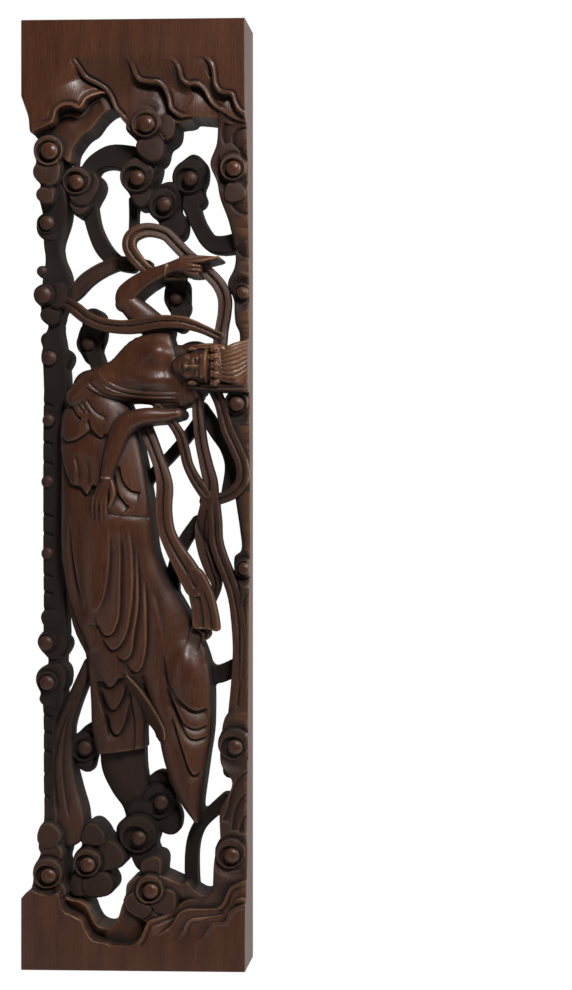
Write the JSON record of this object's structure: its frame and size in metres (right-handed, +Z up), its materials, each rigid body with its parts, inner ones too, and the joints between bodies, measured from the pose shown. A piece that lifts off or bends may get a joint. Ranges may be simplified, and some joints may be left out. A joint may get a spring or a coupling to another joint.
{
  "type": "carved wall panel",
  "caption": "Tall narrow wall panel carved and pierced from one board: plain blocks at both ends, a flying figure with scarves and curled clouds between them.",
  "frame": {"origin": "the hanging point: on the flat back, on the centre line, 20 mm below the top edge", "axes": "+Z up the board's length, -Y out of the carved front, +X to the viewer's right"},
  "size_m": [0.237, 0.06, 1],
  "materials": {
    "stained_wood": "dark stained hardwood, waxed to a satin sheen"
  },
  "bodies": {
    "root": {"carved_panel": "stained_wood"}
  },
  "joints": []
}
